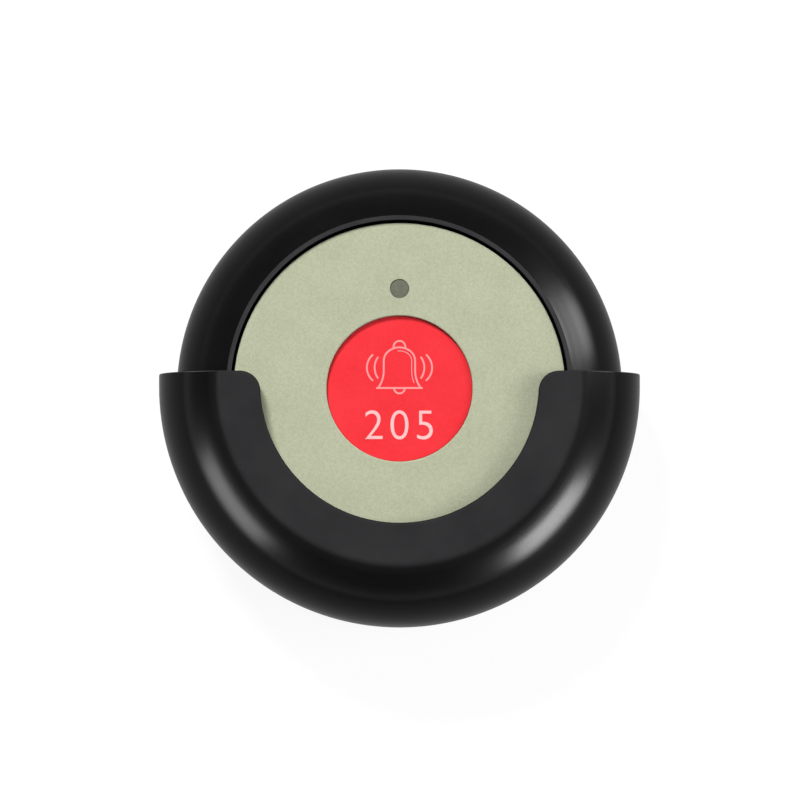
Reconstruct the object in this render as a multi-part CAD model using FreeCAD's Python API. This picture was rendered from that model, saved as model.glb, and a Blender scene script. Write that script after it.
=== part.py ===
import FreeCAD, Part
import math
import os
from collections import namedtuple

# Waiter call button: a round puck with one key, lying in an open cradle that it slides out of.
# Millimetres. Z is up, and Y points to the open side, where the puck slides out.
# The origin is on the underside, at the centre of the cradle's round wall.

Vector = FreeCAD.Vector
UP = Vector(0, 0, 1)
os.makedirs("parts", exist_ok=True)

# Case of the puck
puck_radius = 30.0
base_inset = 1.4
equator_height = 7.1
ring_width = 6.95
rim_width = 0.35
rim_height = 0.15
ring_rise = 9.75
case_wall = 1.6
case_floor = 1.6
deck_thickness = 1.5
base_edge_round = 0.7

# Cradle
holder_floor = 2.0
holder_wall = 1.4
lip_thickness = 1.8
lip_cover = 11.5
lip_edge_round = 2.5
lip_inner_round = 0.45
holder_foot_round = 0.8
open_side_y = 1.7
arm_corner_radius = 2.7
tongue_margin = 0.3
screw_spacing = 16.0
screw_hole_radius = 1.7
countersink_radius = 3.2
countersink_depth = 1.1
pad_inner_radius = 13.0
pad_inset = 5.0
pad_thickness = 0.8
pad_gap = 0.1

# How the puck lies in the cradle
slide_gap = 0.2
pocket_clearance = 1.0
lip_clearance = 0.3
seat_offset = 0.6

# Face plate and light window
plate_groove = 0.66
plate_thickness = 0.8
plate_recess = 0.45
plate_key_gap = 0.18
window_radius = 1.27
window_gap = 0.06
window_from_key = 3.65
window_sink = 0.12
window_stem = 2.0

# Red key
key_radius = 9.7
key_sink = 0.6
key_web = 1.4
key_skirt = 1.2
key_edge_round = 0.3
key_flange_reach = 1.1
key_flange_thickness = 0.8
key_stop_gap = 0.1
key_guide_gap = 0.3
key_guide_wall = 1.0
key_nub_length = 1.2
key_nub_radius = 1.5

# Circuit board and what stands on it
board_edge_gap = 0.2
board_thickness = 1.2
board_chord_gap = 0.4
hole_gap = 0.05
board_post_gap = 0.1
board_post_from_chord = 4.6
board_post_radius = 2.2
switch_size = 6.2
switch_base_height = 3.3
switch_cover_thickness = 0.2
switch_cover_gap = 0.15
plunger_radius = 1.7
plunger_stand = 0.9
plunger_gap = 0.05
pin_width = 0.7
pin_thickness = 0.4
pin_pitch = 4.5
pin_tail = 0.9
led_radius = 1.5
led_flange_radius = 1.9
led_flange_height = 1.0
led_height = 4.6
lead_size = 0.5
lead_pitch = 2.54
chip_length = 5.0
chip_width = 4.0
chip_height = 1.5
chip_stand = 0.2
chip_place_shares = (-0.51, 0.39)
legs_per_side = 4
leg_pitch = 1.27
leg_width = 0.42
leg_reach = 1.0
leg_thickness = 0.2
can_radius = 3.9
can_height = 3.0
can_flange_radius = 4.3
can_flange_height = 0.5
can_place_shares = (0.515, 0.41)
antenna_loop_share = 0.93
antenna_wire_radius = 0.4
antenna_angles = (25, 45, 65)
antenna_height = 3.0
transistor_length = 3.0
transistor_width = 1.4
transistor_height = 1.0
transistor_place_shares = (-0.28, 0.61)
resistor_length = 1.6
resistor_width = 0.8
resistor_height = 0.45
resistor_pitch = 1.5
resistor_count = 4
resistor_row_shares = (-0.55, 0.09)
capacitor_length = 2.0
capacitor_width = 1.25
capacitor_height = 0.8
capacitor_pitch = 2.2
capacitor_count = 3
capacitor_row_shares = (0.27, 0.07)

# Battery and its bay
battery_radius = 5.15
battery_length = 28.5
battery_sleeve_wall = 0.2
battery_edge_round = 0.5
battery_cap_radius = 2.2
battery_cap_length = 1.0
battery_place_share = -0.4167
battery_gap = 0.25
battery_side_gap = 0.35
bay_wall = 1.0
bay_wall_height = 5.8
contact_thickness = 0.3
contact_width = 7.0
contact_height = 7.0
contact_tab_width = 1.4
contact_tab_land = 1.6
contact_slack = 0.05
spring_reach = 1.0
spring_width = 4.0
rib_gap = 0.3
rib_thickness = 1.2
rib_spread = 16.0
rib_length = 4.0

# Battery door
door_thickness = 0.8
door_border = 1.0
door_gap = 0.15
door_corner_round = 2.0
door_tab_radius = 3.0
door_tab_reach = 1.4
door_boss_radius = 2.1
door_boss_height = 4.2

# Screws
case_screw_inset = 5.3
case_screw_angles = (30, 150, 270)
case_boss_radius = 2.5
case_screw_length = 10.5
case_screw_sink = 1.5
board_screw_length = 4.0
door_screw_length = 3.4
screw_radius = 1.0
screw_head_radius = 1.8
screw_head_height = 1.0
screw_slot_width = 0.4
screw_slot_depth = 0.5
head_gap = 0.15
seal_width = 0.7
seal_height = 0.6

# How far a cut runs past what it cuts, and how near two places are to count as one
overrun = 1.0
same_place = 0.002

# The case's section is two bows, one above the equator and one below it. Walls are offsets of them.
Bow = namedtuple("Bow", "centre_r centre_z radius")


def bow_through(side, rise):
    """The radius of an arc that starts upright and comes in by side over a height of rise."""
    return (side * side + rise * rise) / (2 * side)


def offset(bow, amount):
    return Bow(bow.centre_r, bow.centre_z, bow.radius + amount)


def reach_at(bow, z):
    """How far from the axis the bow is at height z."""
    return bow.centre_r + math.sqrt(bow.radius ** 2 - (z - bow.centre_z) ** 2)


# Widths worked out from the sizes above, from the outside in
puck_base_radius = puck_radius - base_inset
rim_outer_radius = puck_radius - ring_width
rim_inner_radius = rim_outer_radius - rim_width
plate_radius = rim_inner_radius - plate_groove
lip_inner_radius = puck_radius - lip_cover
pad_outer_radius = puck_radius - pad_inset
case_screw_circle = puck_radius - case_screw_inset
board_radius = case_screw_circle - case_boss_radius - board_edge_gap
battery_centre_y = battery_place_share * puck_radius
key_hole_radius = key_radius + plate_key_gap
key_flange_radius = key_radius + key_flange_reach
guide_inner_radius = key_flange_radius + key_guide_gap
guide_outer_radius = guide_inner_radius + key_guide_wall
board_post_x = guide_outer_radius + board_post_gap + board_post_radius
window_centre_y = key_radius + window_from_key
window_hole_radius = window_radius + window_gap
shank_hole_radius = screw_radius + hole_gap
head_hole_radius = screw_head_radius + head_gap

# Heights worked out from the sizes above, from the table up
puck_bottom = holder_floor + slide_gap
equator_z = puck_bottom + equator_height
upper_radius = bow_through(puck_radius - rim_outer_radius, ring_rise)
lower_radius = bow_through(puck_radius - puck_base_radius, equator_height)
upper_bow = Bow(puck_radius - upper_radius, equator_z, upper_radius)
lower_bow = Bow(puck_radius - lower_radius, equator_z, lower_radius)
rim_foot_z = equator_z + ring_rise
rim_top_z = rim_foot_z + rim_height
lip_under_z = rim_top_z + lip_clearance
lip_top_z = lip_under_z + lip_thickness
plate_top_z = rim_foot_z - plate_recess
deck_top_z = plate_top_z - plate_thickness
deck_under_z = deck_top_z - deck_thickness
key_top_z = plate_top_z - key_sink
key_web_z = key_top_z - key_web
key_flange_top_z = deck_under_z - key_stop_gap
key_flange_z = key_flange_top_z - key_flange_thickness
plunger_top_z = key_web_z - key_nub_length
switch_top_z = plunger_top_z - plunger_stand
board_top_z = switch_top_z - switch_cover_thickness - switch_base_height
board_under_z = board_top_z - board_thickness
case_floor_z = puck_bottom + case_floor
battery_z = case_floor_z + battery_gap + battery_radius
bay_inner_y = battery_radius + battery_side_gap
bay_inner_x = battery_length / 2 + spring_reach + contact_thickness + contact_slack
bay_outer_x = bay_inner_x + bay_wall
bay_outer_y = bay_inner_y + bay_wall
bay_top_z = case_floor_z + bay_wall_height
board_chord_y = battery_centre_y + bay_outer_y + board_chord_gap
board_post_y = board_chord_y + board_post_from_chord
case_thread_top_z = puck_bottom + case_screw_sink + case_screw_length


def disc(radius, low, high, x=0, y=0):
    return Part.makeCylinder(radius, high - low, Vector(x, y, low))


def tube(inner, outer, low, high, x=0, y=0):
    return disc(outer, low, high, x, y).cut(disc(inner, low, high, x, y))


def block(x0, x1, y0, y1, low, high):
    return Part.makeBox(x1 - x0, y1 - y0, high - low, Vector(x0, y0, low))


def centred_block(length, width, low, high, x=0, y=0):
    return block(x - length / 2, x + length / 2, y - width / 2, y + width / 2, low, high)


def rounded_plate(length, width, corner, low, high, x=0, y=0):
    plate = centred_block(length, width, low, high, x, y)
    return plate.makeFillet(corner, [edge for edge in plate.Edges if is_upright(edge)])


def is_upright(edge):
    """Whether an edge is a straight line along Z."""
    ends = [v.Point for v in edge.Vertexes]
    if len(ends) != 2 or not isinstance(edge.Curve, Part.Line):
        return False
    return abs(ends[0].x - ends[1].x) + abs(ends[0].y - ends[1].y) < same_place


def line(r0, z0, r1, z1):
    return Part.LineSegment(Vector(r0, 0, z0), Vector(r1, 0, z1)).toShape()


def bow_edge(bow, z0, z1):
    """The part of a bow between two heights, as an edge in the XZ plane."""
    middle = (z0 + z1) / 2
    places = [Vector(reach_at(bow, z), 0, z) for z in (z0, middle, z1)]
    return Part.Arc(*places).toShape()


def spun(edges):
    """The solid of a closed outline in the XZ plane, turned about the Z axis."""
    return Part.Face(Part.Wire(edges)).revolve(Vector(0, 0, 0), UP, 360)


def ring_edges(shape, radius, z):
    """The round edges of a shape that lie level, of one radius and height."""
    found = []
    for edge in shape.Edges:
        curve = edge.Curve
        if not isinstance(curve, Part.Circle):
            continue
        if abs(curve.Radius - radius) + abs(curve.Center.z - z) < same_place:
            found.append(edge)
    return found


def spots(angles, radius):
    """Places on a circle, from angles in degrees."""
    return [(radius * math.cos(math.radians(a)), radius * math.sin(math.radians(a))) for a in angles]


def on_board(shares):
    """A place on the circuit board, from shares of its radius."""
    return shares[0] * board_radius, shares[1] * board_radius


def at_puck(shape):
    """The puck rests against the closed end of its pocket, so it lies a little to that side."""
    moved = shape.copy()
    moved.translate(Vector(0, -seat_offset, 0))
    return moved


def group(shapes):
    return Part.makeCompound(shapes)


def save(shape, name):
    shape.exportStep("parts/" + name + ".step")


def holder_cradle():
    """Floor, bowed wall and flat lip, spun whole and then opened on one side."""
    upper = offset(upper_bow, pocket_clearance + holder_wall)
    lower = offset(lower_bow, pocket_clearance + holder_wall)
    pocket_upper = offset(upper_bow, pocket_clearance)
    pocket_lower = offset(lower_bow, pocket_clearance)
    foot_reach = reach_at(lower, 0)
    lip_outer = reach_at(upper, lip_top_z)
    pocket_foot = reach_at(pocket_lower, holder_floor)
    pocket_roof = reach_at(pocket_upper, lip_under_z)
    cradle = spun([
        line(0, 0, foot_reach, 0),
        bow_edge(lower, 0, equator_z),
        bow_edge(upper, equator_z, lip_top_z),
        line(lip_outer, lip_top_z, lip_inner_radius, lip_top_z),
        line(lip_inner_radius, lip_top_z, lip_inner_radius, lip_under_z),
        line(lip_inner_radius, lip_under_z, pocket_roof, lip_under_z),
        bow_edge(pocket_upper, lip_under_z, equator_z),
        bow_edge(pocket_lower, equator_z, holder_floor),
        line(pocket_foot, holder_floor, 0, holder_floor),
        line(0, holder_floor, 0, 0),
    ])
    cradle = cradle.makeFillet(lip_edge_round, ring_edges(cradle, lip_outer, lip_top_z))
    cradle = cradle.makeFillet(holder_foot_round, ring_edges(cradle, foot_reach, 0))
    wide = foot_reach + pocket_clearance + holder_wall + overrun + puck_radius
    cradle = cradle.cut(block(-wide, wide, open_side_y, wide, -overrun, lip_top_z + overrun))
    corner_x = math.sqrt(lip_inner_radius ** 2 - open_side_y ** 2)
    corners = [e for e in cradle.Edges if is_arm_corner(e, corner_x)]
    cradle = cradle.makeFillet(arm_corner_radius, corners)
    cradle = cradle.makeFillet(lip_inner_round, lip_mouth_edges(cradle))
    tongue = disc(puck_base_radius - tongue_margin, 0, holder_floor)
    cradle = cradle.fuse(tongue).removeSplitter()
    cradle = cradle.cut(tube(pad_inner_radius, pad_outer_radius, -overrun, pad_thickness + pad_gap / 2))
    for x in (-screw_spacing / 2, screw_spacing / 2):
        cradle = cradle.cut(disc(screw_hole_radius, -overrun, holder_floor + overrun, x))
        sink_z = holder_floor - countersink_depth
        place = Vector(x, 0, sink_z)
        cradle = cradle.cut(Part.makeCone(screw_hole_radius, countersink_radius, countersink_depth, place))
    return cradle


def is_arm_corner(edge, corner_x):
    """An upright edge where the lip's inner arc meets the open side."""
    if not is_upright(edge):
        return False
    low, high = sorted([v.Point for v in edge.Vertexes], key=lambda point: point.z)
    at_corner = abs(abs(low.x) - corner_x) + abs(low.y - open_side_y) < same_place
    return at_corner and low.z > rim_top_z


def lip_mouth_edges(cradle):
    """The top edges of the lip's inner arc and of its two round corners."""
    mouth = ring_edges(cradle, lip_inner_radius, lip_top_z)
    return mouth + ring_edges(cradle, arm_corner_radius, lip_top_z)


def adhesive_pad():
    inner = pad_inner_radius + pad_gap
    outer = pad_outer_radius - pad_gap
    return tube(inner, outer, pad_gap / 2, pad_thickness + pad_gap / 2)


def top_shell():
    """Convex ring with its thin rim, the deck under the face plate, and bosses for the screws."""
    inside = offset(upper_bow, -case_wall)
    shell = spun([
        line(reach_at(inside, equator_z), equator_z, puck_radius, equator_z),
        bow_edge(upper_bow, equator_z, rim_foot_z),
        line(rim_outer_radius, rim_foot_z, rim_outer_radius, rim_top_z),
        line(rim_outer_radius, rim_top_z, rim_inner_radius, rim_top_z),
        line(rim_inner_radius, rim_top_z, rim_inner_radius, deck_top_z),
        line(rim_inner_radius, deck_top_z, key_hole_radius, deck_top_z),
        line(key_hole_radius, deck_top_z, key_hole_radius, deck_under_z),
        line(key_hole_radius, deck_under_z, reach_at(inside, deck_under_z), deck_under_z),
        bow_edge(inside, deck_under_z, equator_z),
    ])
    adds = [tube(guide_inner_radius, guide_outer_radius, key_flange_z, deck_under_z)]
    for x, y in spots(case_screw_angles, case_screw_circle):
        adds.append(disc(case_boss_radius, equator_z, deck_under_z, x, y))
    for x in (-board_post_x, board_post_x):
        adds.append(disc(board_post_radius, board_top_z, deck_under_z, x, board_post_y))
    rib_low = battery_z + battery_radius + rib_gap
    for x in (-rib_spread / 2, rib_spread / 2):
        rib_y = battery_centre_y - rib_gap
        adds.append(centred_block(rib_thickness, rib_length, rib_low, deck_under_z, x, rib_y))
    shell = shell.multiFuse(adds).removeSplitter()
    shell = shell.cut(window_hole(deck_under_z - overrun, deck_top_z + overrun))
    for x, y in spots(case_screw_angles, case_screw_circle):
        shell = shell.cut(disc(shank_hole_radius, equator_z, case_thread_top_z + hole_gap, x, y))
    for x in (-board_post_x, board_post_x):
        top = board_under_z + board_screw_length + hole_gap
        shell = shell.cut(disc(shank_hole_radius, board_top_z, top, x, board_post_y))
    return shell


def window_hole(low, high):
    return disc(window_hole_radius, low, high, 0, window_centre_y)


def door_outline(grow, low, high):
    """The battery door's outline: a rounded plate with a round tab for its screw."""
    length = 2 * (bay_inner_x + door_border + grow)
    width = 2 * (bay_inner_y + door_border + grow)
    plate = rounded_plate(length, width, door_corner_round + grow, low, high, 0, battery_centre_y)
    tab = disc(door_tab_radius + grow, low, high, 0, door_screw_y())
    return plate.fuse(tab).removeSplitter()


def door_screw_y():
    return battery_centre_y + bay_inner_y + door_border + door_tab_reach


def bottom_shell():
    """Lower half of the case, with the battery bay, its door seat and the screw bosses."""
    inside = offset(lower_bow, -case_wall)
    shell = spun([
        line(0, puck_bottom, puck_base_radius, puck_bottom),
        bow_edge(lower_bow, puck_bottom, equator_z),
        line(puck_radius, equator_z, reach_at(inside, equator_z), equator_z),
        bow_edge(inside, equator_z, case_floor_z),
        line(reach_at(inside, case_floor_z), case_floor_z, 0, case_floor_z),
        line(0, case_floor_z, 0, puck_bottom),
    ])
    shell = shell.makeFillet(base_edge_round, ring_edges(shell, puck_base_radius, puck_bottom))
    bay = centred_block(2 * bay_outer_x, 2 * bay_outer_y, case_floor_z, bay_top_z, 0, battery_centre_y)
    adds = [bay, disc(door_boss_radius, case_floor_z, case_floor_z + door_boss_height, 0, door_screw_y())]
    for x, y in spots(case_screw_angles, case_screw_circle):
        adds.append(disc(case_boss_radius, case_floor_z, equator_z, x, y))
    shell = shell.multiFuse(adds).removeSplitter()
    low = puck_bottom - overrun
    high = bay_top_z + overrun
    shell = shell.cut(centred_block(2 * bay_inner_x, 2 * bay_inner_y, low, high, 0, battery_centre_y))
    shell = shell.cut(door_outline(door_gap, puck_bottom - overrun, puck_bottom + door_thickness + hole_gap))
    door_hole_top = puck_bottom + door_thickness + door_screw_length
    shell = shell.cut(disc(shank_hole_radius, puck_bottom, door_hole_top, 0, door_screw_y()))
    for x, y in spots(case_screw_angles, case_screw_circle):
        shell = shell.cut(disc(shank_hole_radius, puck_bottom - overrun, equator_z + overrun, x, y))
        shell = shell.cut(disc(head_hole_radius, puck_bottom - overrun, puck_bottom + case_screw_sink, x, y))
    return shell.cut(seal_ring(hole_gap, overrun))


def seal_ring(slack, above):
    """The rubber ring between the halves, in the middle of the wall; a larger copy cuts its groove."""
    middle = puck_radius - case_wall / 2
    inner = middle - seal_width / 2 - slack
    outer = middle + seal_width / 2 + slack
    return tube(inner, outer, equator_z - seal_height - slack, equator_z + above)


def case_seal():
    return seal_ring(0, 0)


def door_cone(slack, low):
    """The sunk head of the door's screw; a larger copy cuts its seat."""
    wide = screw_head_radius + slack
    narrow = screw_radius + slack
    return Part.makeCone(wide, narrow, puck_bottom + door_thickness - low, Vector(0, door_screw_y(), low))


def battery_door():
    """A flush plate whose screw sits in a sunk seat in the tab."""
    door = door_outline(0, puck_bottom, puck_bottom + door_thickness)
    low = puck_bottom + hole_gap
    door = door.cut(disc(screw_head_radius + hole_gap, puck_bottom - overrun, low, 0, door_screw_y()))
    return door.cut(door_cone(hole_gap, low))


def screw(length, x, y, seat_z):
    """A cross-slot screw with its head's upper face at seat_z and its shank going up."""
    head = disc(screw_head_radius, seat_z - screw_head_height, seat_z, x, y)
    shank = disc(screw_radius, seat_z - screw_head_height / 2, seat_z + length, x, y)
    body = head.fuse(shank)
    low = seat_z - screw_head_height - overrun
    high = seat_z - screw_head_height + screw_slot_depth
    arm = screw_head_radius
    body = body.cut(centred_block(arm, screw_slot_width, low, high, x, y))
    return body.cut(centred_block(screw_slot_width, arm, low, high, x, y)).removeSplitter()


def case_screws():
    seat = puck_bottom + case_screw_sink
    places = spots(case_screw_angles, case_screw_circle)
    return group([screw(case_screw_length, x, y, seat) for x, y in places])


def board_screws():
    sides = (-board_post_x, board_post_x)
    return group([screw(board_screw_length, x, board_post_y, board_under_z) for x in sides])


def door_screw():
    """A countersunk screw, flush with the door."""
    low = puck_bottom + hole_gap
    seat = puck_bottom + door_thickness
    shank = disc(screw_radius, seat, seat + door_screw_length - hole_gap, 0, door_screw_y())
    slot_top = low + screw_slot_depth
    slot = centred_block(screw_head_radius, screw_slot_width, low - overrun, slot_top, 0, door_screw_y())
    return door_cone(0, low).fuse(shank).cut(slot).removeSplitter()


def face_plate():
    plate = disc(plate_radius, deck_top_z, plate_top_z)
    plate = plate.cut(disc(key_hole_radius, deck_top_z - overrun, plate_top_z + overrun))
    return plate.cut(window_hole(deck_top_z - overrun, plate_top_z + overrun))


def led_window():
    top = plate_top_z - window_sink
    window = disc(window_radius, top - window_stem, top, 0, window_centre_y)
    return window.makeFillet(window_sink, ring_edges(window, window_radius, top))


def call_key():
    """A hollow cap with a flange that stops under the deck, and a nub over the switch."""
    key = disc(key_radius, key_flange_z, key_top_z)
    key = key.makeFillet(key_edge_round, ring_edges(key, key_radius, key_top_z))
    key = key.cut(disc(key_radius - key_skirt, key_flange_z - overrun, key_web_z))
    flange = tube(key_radius - key_skirt, key_flange_radius, key_flange_z, key_flange_top_z)
    nub = disc(key_nub_radius, plunger_top_z, key_web_z)
    return key.multiFuse([flange, nub]).removeSplitter()


def pin_spots():
    reach = switch_size / 2 + pin_thickness / 2
    return [(sx * reach, sy * pin_pitch / 2) for sx in (-1, 1) for sy in (-1, 1)]


def lead_spots():
    return [(side * lead_pitch / 2, window_centre_y) for side in (-1, 1)]


def circuit_board():
    """A round board cut straight beside the battery, with holes for its screws, pins and leads."""
    low = board_under_z - overrun
    high = board_top_z + overrun
    far = board_radius + overrun
    board = disc(board_radius, board_under_z, board_top_z)
    board = board.cut(block(-far, far, -far, board_chord_y, low, high))
    for x in (-board_post_x, board_post_x):
        board = board.cut(disc(shank_hole_radius, low, high, x, board_post_y))
    for x, y in pin_spots():
        board = board.cut(centred_block(pin_thickness + hole_gap, pin_width + hole_gap, low, high, x, y))
    for x, y in lead_spots():
        board = board.cut(centred_block(lead_size + hole_gap, lead_size + hole_gap, low, high, x, y))
    return board


def switch_base():
    base_top = board_top_z + switch_base_height
    base = centred_block(switch_size, switch_size, board_top_z, base_top)
    well_floor = board_top_z + switch_base_height / 2
    return base.cut(disc(plunger_radius + plunger_gap, well_floor, base_top + overrun))


def switch_cover():
    low = board_top_z + switch_base_height
    side = switch_size - switch_cover_gap
    cover = centred_block(side, side, low, switch_top_z)
    return cover.cut(disc(plunger_radius + plunger_gap, low - overrun, switch_top_z + overrun))


def switch_plunger():
    """It reaches as far into the base as it stands out of the cover."""
    low = switch_top_z - plunger_stand
    return disc(plunger_radius, low, plunger_top_z)


def switch_pins():
    top = board_top_z + switch_base_height / 3
    bottom = board_under_z - pin_tail
    return group([centred_block(pin_thickness, pin_width, bottom, top, x, y) for x, y in pin_spots()])


def status_led():
    """A round lens with a flange, standing on the board below the light window."""
    top = board_top_z + led_height
    flange = disc(led_flange_radius, board_top_z, board_top_z + led_flange_height, 0, window_centre_y)
    barrel = disc(led_radius, board_top_z, top - led_radius, 0, window_centre_y)
    dome = Part.makeSphere(led_radius, Vector(0, window_centre_y, top - led_radius))
    return flange.multiFuse([barrel, dome]).removeSplitter()


def led_leads():
    low = board_under_z - pin_tail
    return group([centred_block(lead_size, lead_size, low, board_top_z, x, y) for x, y in lead_spots()])


def encoder_chip():
    low = board_top_z + chip_stand
    x, y = on_board(chip_place_shares)
    return centred_block(chip_length, chip_width, low, low + chip_height, x, y)


def chip_legs():
    """Bent legs on each long side: a foot on the board and a riser beside the body."""
    legs = []
    chip_x, chip_y = on_board(chip_place_shares)
    for side in (-1, 1):
        wall_y = chip_y + side * chip_width / 2
        toe_y = wall_y + side * leg_reach
        for place in range(legs_per_side):
            x = chip_x + (place - (legs_per_side - 1) / 2) * leg_pitch
            x0 = x - leg_width / 2
            x1 = x + leg_width / 2
            near, far = sorted((wall_y, toe_y))
            foot = block(x0, x1, near, far, board_top_z, board_top_z + leg_thickness)
            near, far = sorted((wall_y, wall_y + side * leg_thickness))
            riser = block(x0, x1, near, far, board_top_z, board_top_z + chip_stand + chip_height / 2)
            legs.append(foot.fuse(riser).removeSplitter())
    return group(legs)


def resonator_can():
    flange_top = board_top_z + can_flange_height
    x, y = on_board(can_place_shares)
    flange = disc(can_flange_radius, board_top_z, flange_top, x, y)
    return flange.fuse(disc(can_radius, flange_top, board_top_z + can_height, x, y))


def loop_antenna():
    """A wire hoop above the board's edge, on two legs that stand on the board."""
    height = board_top_z + antenna_height
    places = spots(antenna_angles, antenna_loop_share * board_radius)
    start, middle, end = [Vector(x, y, height) for x, y in places]
    hoop = Part.Arc(start, middle, end).toShape()
    section = Part.Circle(start, hoop.tangentAt(hoop.FirstParameter), antenna_wire_radius).toShape()
    bar = Part.Wire(hoop).makePipe(Part.Face(Part.Wire(section)))
    legs = [disc(antenna_wire_radius, board_top_z, height, p.x, p.y) for p in (start, end)]
    knees = [Part.makeSphere(antenna_wire_radius, p) for p in (start, end)]
    return bar.multiFuse(legs + knees).removeSplitter()


def transistor():
    top = board_top_z + transistor_height
    x, y = on_board(transistor_place_shares)
    return centred_block(transistor_length, transistor_width, board_top_z, top, x, y)


def chip_row(length, width, height, pitch, count, shares):
    """Small board parts in a row along X."""
    top = board_top_z + height
    x, y = on_board(shares)
    return group([centred_block(width, length, board_top_z, top, x + i * pitch, y) for i in range(count)])


def chip_resistors():
    sizes = (resistor_length, resistor_width, resistor_height, resistor_pitch)
    return chip_row(*sizes, resistor_count, resistor_row_shares)


def chip_capacitors():
    sizes = (capacitor_length, capacitor_width, capacitor_height, capacitor_pitch)
    return chip_row(*sizes, capacitor_count, capacitor_row_shares)


def along_x(radius, x0, x1):
    return Part.makeCylinder(radius, x1 - x0, Vector(x0, battery_centre_y, battery_z), Vector(1, 0, 0))


def battery_ends():
    return -battery_length / 2, battery_length / 2 - battery_cap_length


def battery_can():
    x0, x1 = battery_ends()
    can = along_x(battery_radius - battery_sleeve_wall, x0, x1)
    rims = [e for e in can.Edges if isinstance(e.Curve, Part.Circle)]
    return can.makeFillet(battery_edge_round, rims)


def battery_sleeve():
    x0, x1 = battery_ends()
    x0 += battery_edge_round
    x1 -= battery_edge_round
    return along_x(battery_radius, x0, x1).cut(along_x(battery_radius - battery_sleeve_wall, x0, x1))


def battery_cap():
    x0, x1 = battery_ends()
    return along_x(battery_cap_radius, x1, x1 + battery_cap_length)


def contact_plate(x0, x1):
    """A thin plate across the battery's end, with a tab that stands on the board."""
    low = battery_z - contact_height / 2
    high = battery_z + contact_height / 2
    half = contact_width / 2
    plate = block(x0, x1, battery_centre_y - half, battery_centre_y + half, low, high)
    tab_top = board_top_z + contact_tab_width
    tab = block(x0, x1, battery_centre_y, board_chord_y + contact_tab_land, board_top_z, tab_top)
    return plate.fuse(tab)


def flat_contact():
    x0 = battery_length / 2
    return contact_plate(x0, x0 + contact_thickness).removeSplitter()


def spring_contact():
    """A leaf bowed against the battery's flat end, in front of its plate."""
    wall_x = -bay_inner_x + contact_slack
    plate = contact_plate(wall_x, wall_x + contact_thickness)
    rise = contact_height / 2
    reach = -battery_length / 2 - wall_x
    radius = (rise * rise + reach * reach) / (2 * reach)
    axis_x = wall_x + reach - radius
    place = Vector(axis_x, battery_centre_y - spring_width / 2, battery_z)
    outer = Part.makeCylinder(radius, spring_width, place, Vector(0, 1, 0))
    leaf = outer.cut(Part.makeCylinder(radius - contact_thickness, spring_width, place, Vector(0, 1, 0)))
    front = block(wall_x, 0, battery_centre_y - contact_width, battery_centre_y + contact_width,
                  battery_z - rise, battery_z + rise)
    return plate.fuse(leaf.common(front)).removeSplitter()


FIXED_PIECES = (holder_cradle, adhesive_pad)
PUCK_PIECES = (
    top_shell, bottom_shell, case_seal, case_screws, face_plate, led_window, call_key,
    battery_door, door_screw, circuit_board, board_screws, switch_base, switch_cover,
    switch_pins, switch_plunger, status_led, led_leads, encoder_chip, chip_legs,
    resonator_can, loop_antenna, transistor, chip_capacitors, chip_resistors,
    battery_can, battery_cap, battery_sleeve, flat_contact, spring_contact,
)

for make in FIXED_PIECES:
    save(make(), make.__name__)
for make in PUCK_PIECES:
    save(at_puck(make()), make.__name__)
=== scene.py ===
# %% [markdown]
# Waiter call button
#
# A round call puck with one red key lies in an open black cradle. The working model
# gives every piece its place, and this lesson makes the surfaces that a camera sees.
# Loading the model first means that each new casing can be measured against it.

# %% Load the working model
import math

import bmesh
import bpy
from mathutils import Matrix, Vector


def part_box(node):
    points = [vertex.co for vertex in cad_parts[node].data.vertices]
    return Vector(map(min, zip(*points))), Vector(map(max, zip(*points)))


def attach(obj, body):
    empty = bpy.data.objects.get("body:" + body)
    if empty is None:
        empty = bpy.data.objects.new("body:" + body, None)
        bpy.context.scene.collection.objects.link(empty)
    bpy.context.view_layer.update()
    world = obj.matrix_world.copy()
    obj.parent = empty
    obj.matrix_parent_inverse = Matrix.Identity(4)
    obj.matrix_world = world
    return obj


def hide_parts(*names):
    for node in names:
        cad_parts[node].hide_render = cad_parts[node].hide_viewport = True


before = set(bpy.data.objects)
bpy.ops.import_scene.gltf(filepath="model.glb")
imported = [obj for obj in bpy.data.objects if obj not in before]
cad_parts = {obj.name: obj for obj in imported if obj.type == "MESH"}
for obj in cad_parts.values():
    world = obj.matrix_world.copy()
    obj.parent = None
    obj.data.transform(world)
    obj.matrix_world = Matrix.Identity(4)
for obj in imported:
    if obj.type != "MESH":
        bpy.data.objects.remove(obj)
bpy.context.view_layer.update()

MM = 0.001

# %% [markdown]
# Sizes
#
# Each casing is fitted to the working piece that it covers, so its outer sizes are read
# from that piece's box. What a box can't say, such as a wall or the bow of a side, is
# written here once, in millimetres.

# %% Sizes read from the working model


def box_mm(node):
    """The lowest and highest corner of a working piece, in millimetres."""
    low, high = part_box(node)
    return low / MM, high / MM


cradle_high = box_mm("holder_cradle")[1]
ring_low, ring_high = box_mm("top_shell")
base_low, base_high = box_mm("bottom_shell")
plate_low, plate_high = box_mm("face_plate")
lens_low, lens_high = box_mm("led_window")
key_low, key_high = box_mm("call_key")
door_low, door_high = box_mm("battery_door")
pad_low, pad_high = box_mm("adhesive_pad")

puck_y = (ring_low.y + ring_high.y) / 2
puck_radius = ring_high.x
equator_z = ring_low.z
rim_top_z = ring_high.z
plate_top_z = plate_high.z
deck_top_z = plate_low.z
puck_bottom_z = base_low.z
print("puck", round(puck_radius, 2), "equator", round(equator_z, 2), "rim", round(rim_top_z, 2))

# %% Sizes given here
case_wall = 1.6
upper_bow_radius = 10.31
lower_bow_radius = 18.70
pocket_gap = 1.0
cradle_wall = 1.4
cradle_floor = 2.0
lip_thickness = 1.8
lip_inner_radius = 18.5
open_side_y = 1.7
overrun = 1.0

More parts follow.
